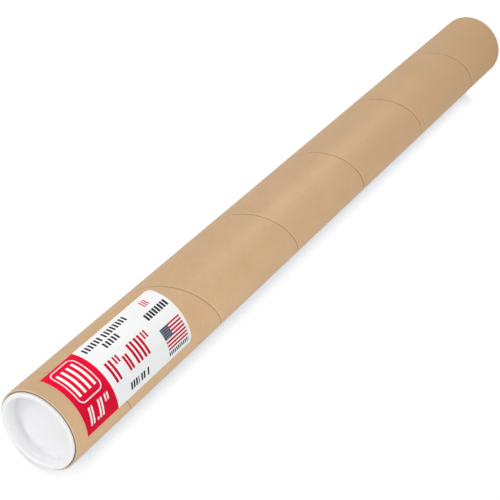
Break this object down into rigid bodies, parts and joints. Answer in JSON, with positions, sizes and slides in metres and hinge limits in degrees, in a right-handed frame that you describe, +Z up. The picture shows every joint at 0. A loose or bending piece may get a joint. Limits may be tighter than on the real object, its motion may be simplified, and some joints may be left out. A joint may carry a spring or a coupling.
{
  "type": "cardboard mailing tube",
  "caption": "Spiral-wound kraft cardboard mailing tube with a wrapped paper label and a recessed white plastic cup plug pressed into each end.",
  "frame": {"origin": "centre of the bottom plug's flange face, which stands on the ground", "axes": "+Z up along the tube's axis to the end that has the label, -Y out through the middle of the label"},
  "size_m": [0.0574, 0.0576, 0.6392],
  "materials": {
    "kraft_board": "satin brown kraft paper, spiral wound",
    "label_paper": "semi-gloss white with red and grey print",
    "white_plastic": "glossy white polyethylene"
  },
  "bodies": {
    "bottom_plug": {"bottom_plug": "white_plastic"},
    "tube": {"tube": "kraft_board", "label": "label_paper"},
    "top_plug": {"top_plug": "white_plastic"}
  },
  "joints": [
    {"name": "tube_lift", "type": "slide", "parent": "bottom_plug", "child": "tube", "axis": [0, 0, 1], "range_m": [0, 0.03]},
    {"name": "top_plug_pull", "type": "slide", "parent": "tube", "child": "top_plug", "axis": [0, 0, 1], "range_m": [0, 0.03]}
  ]
}
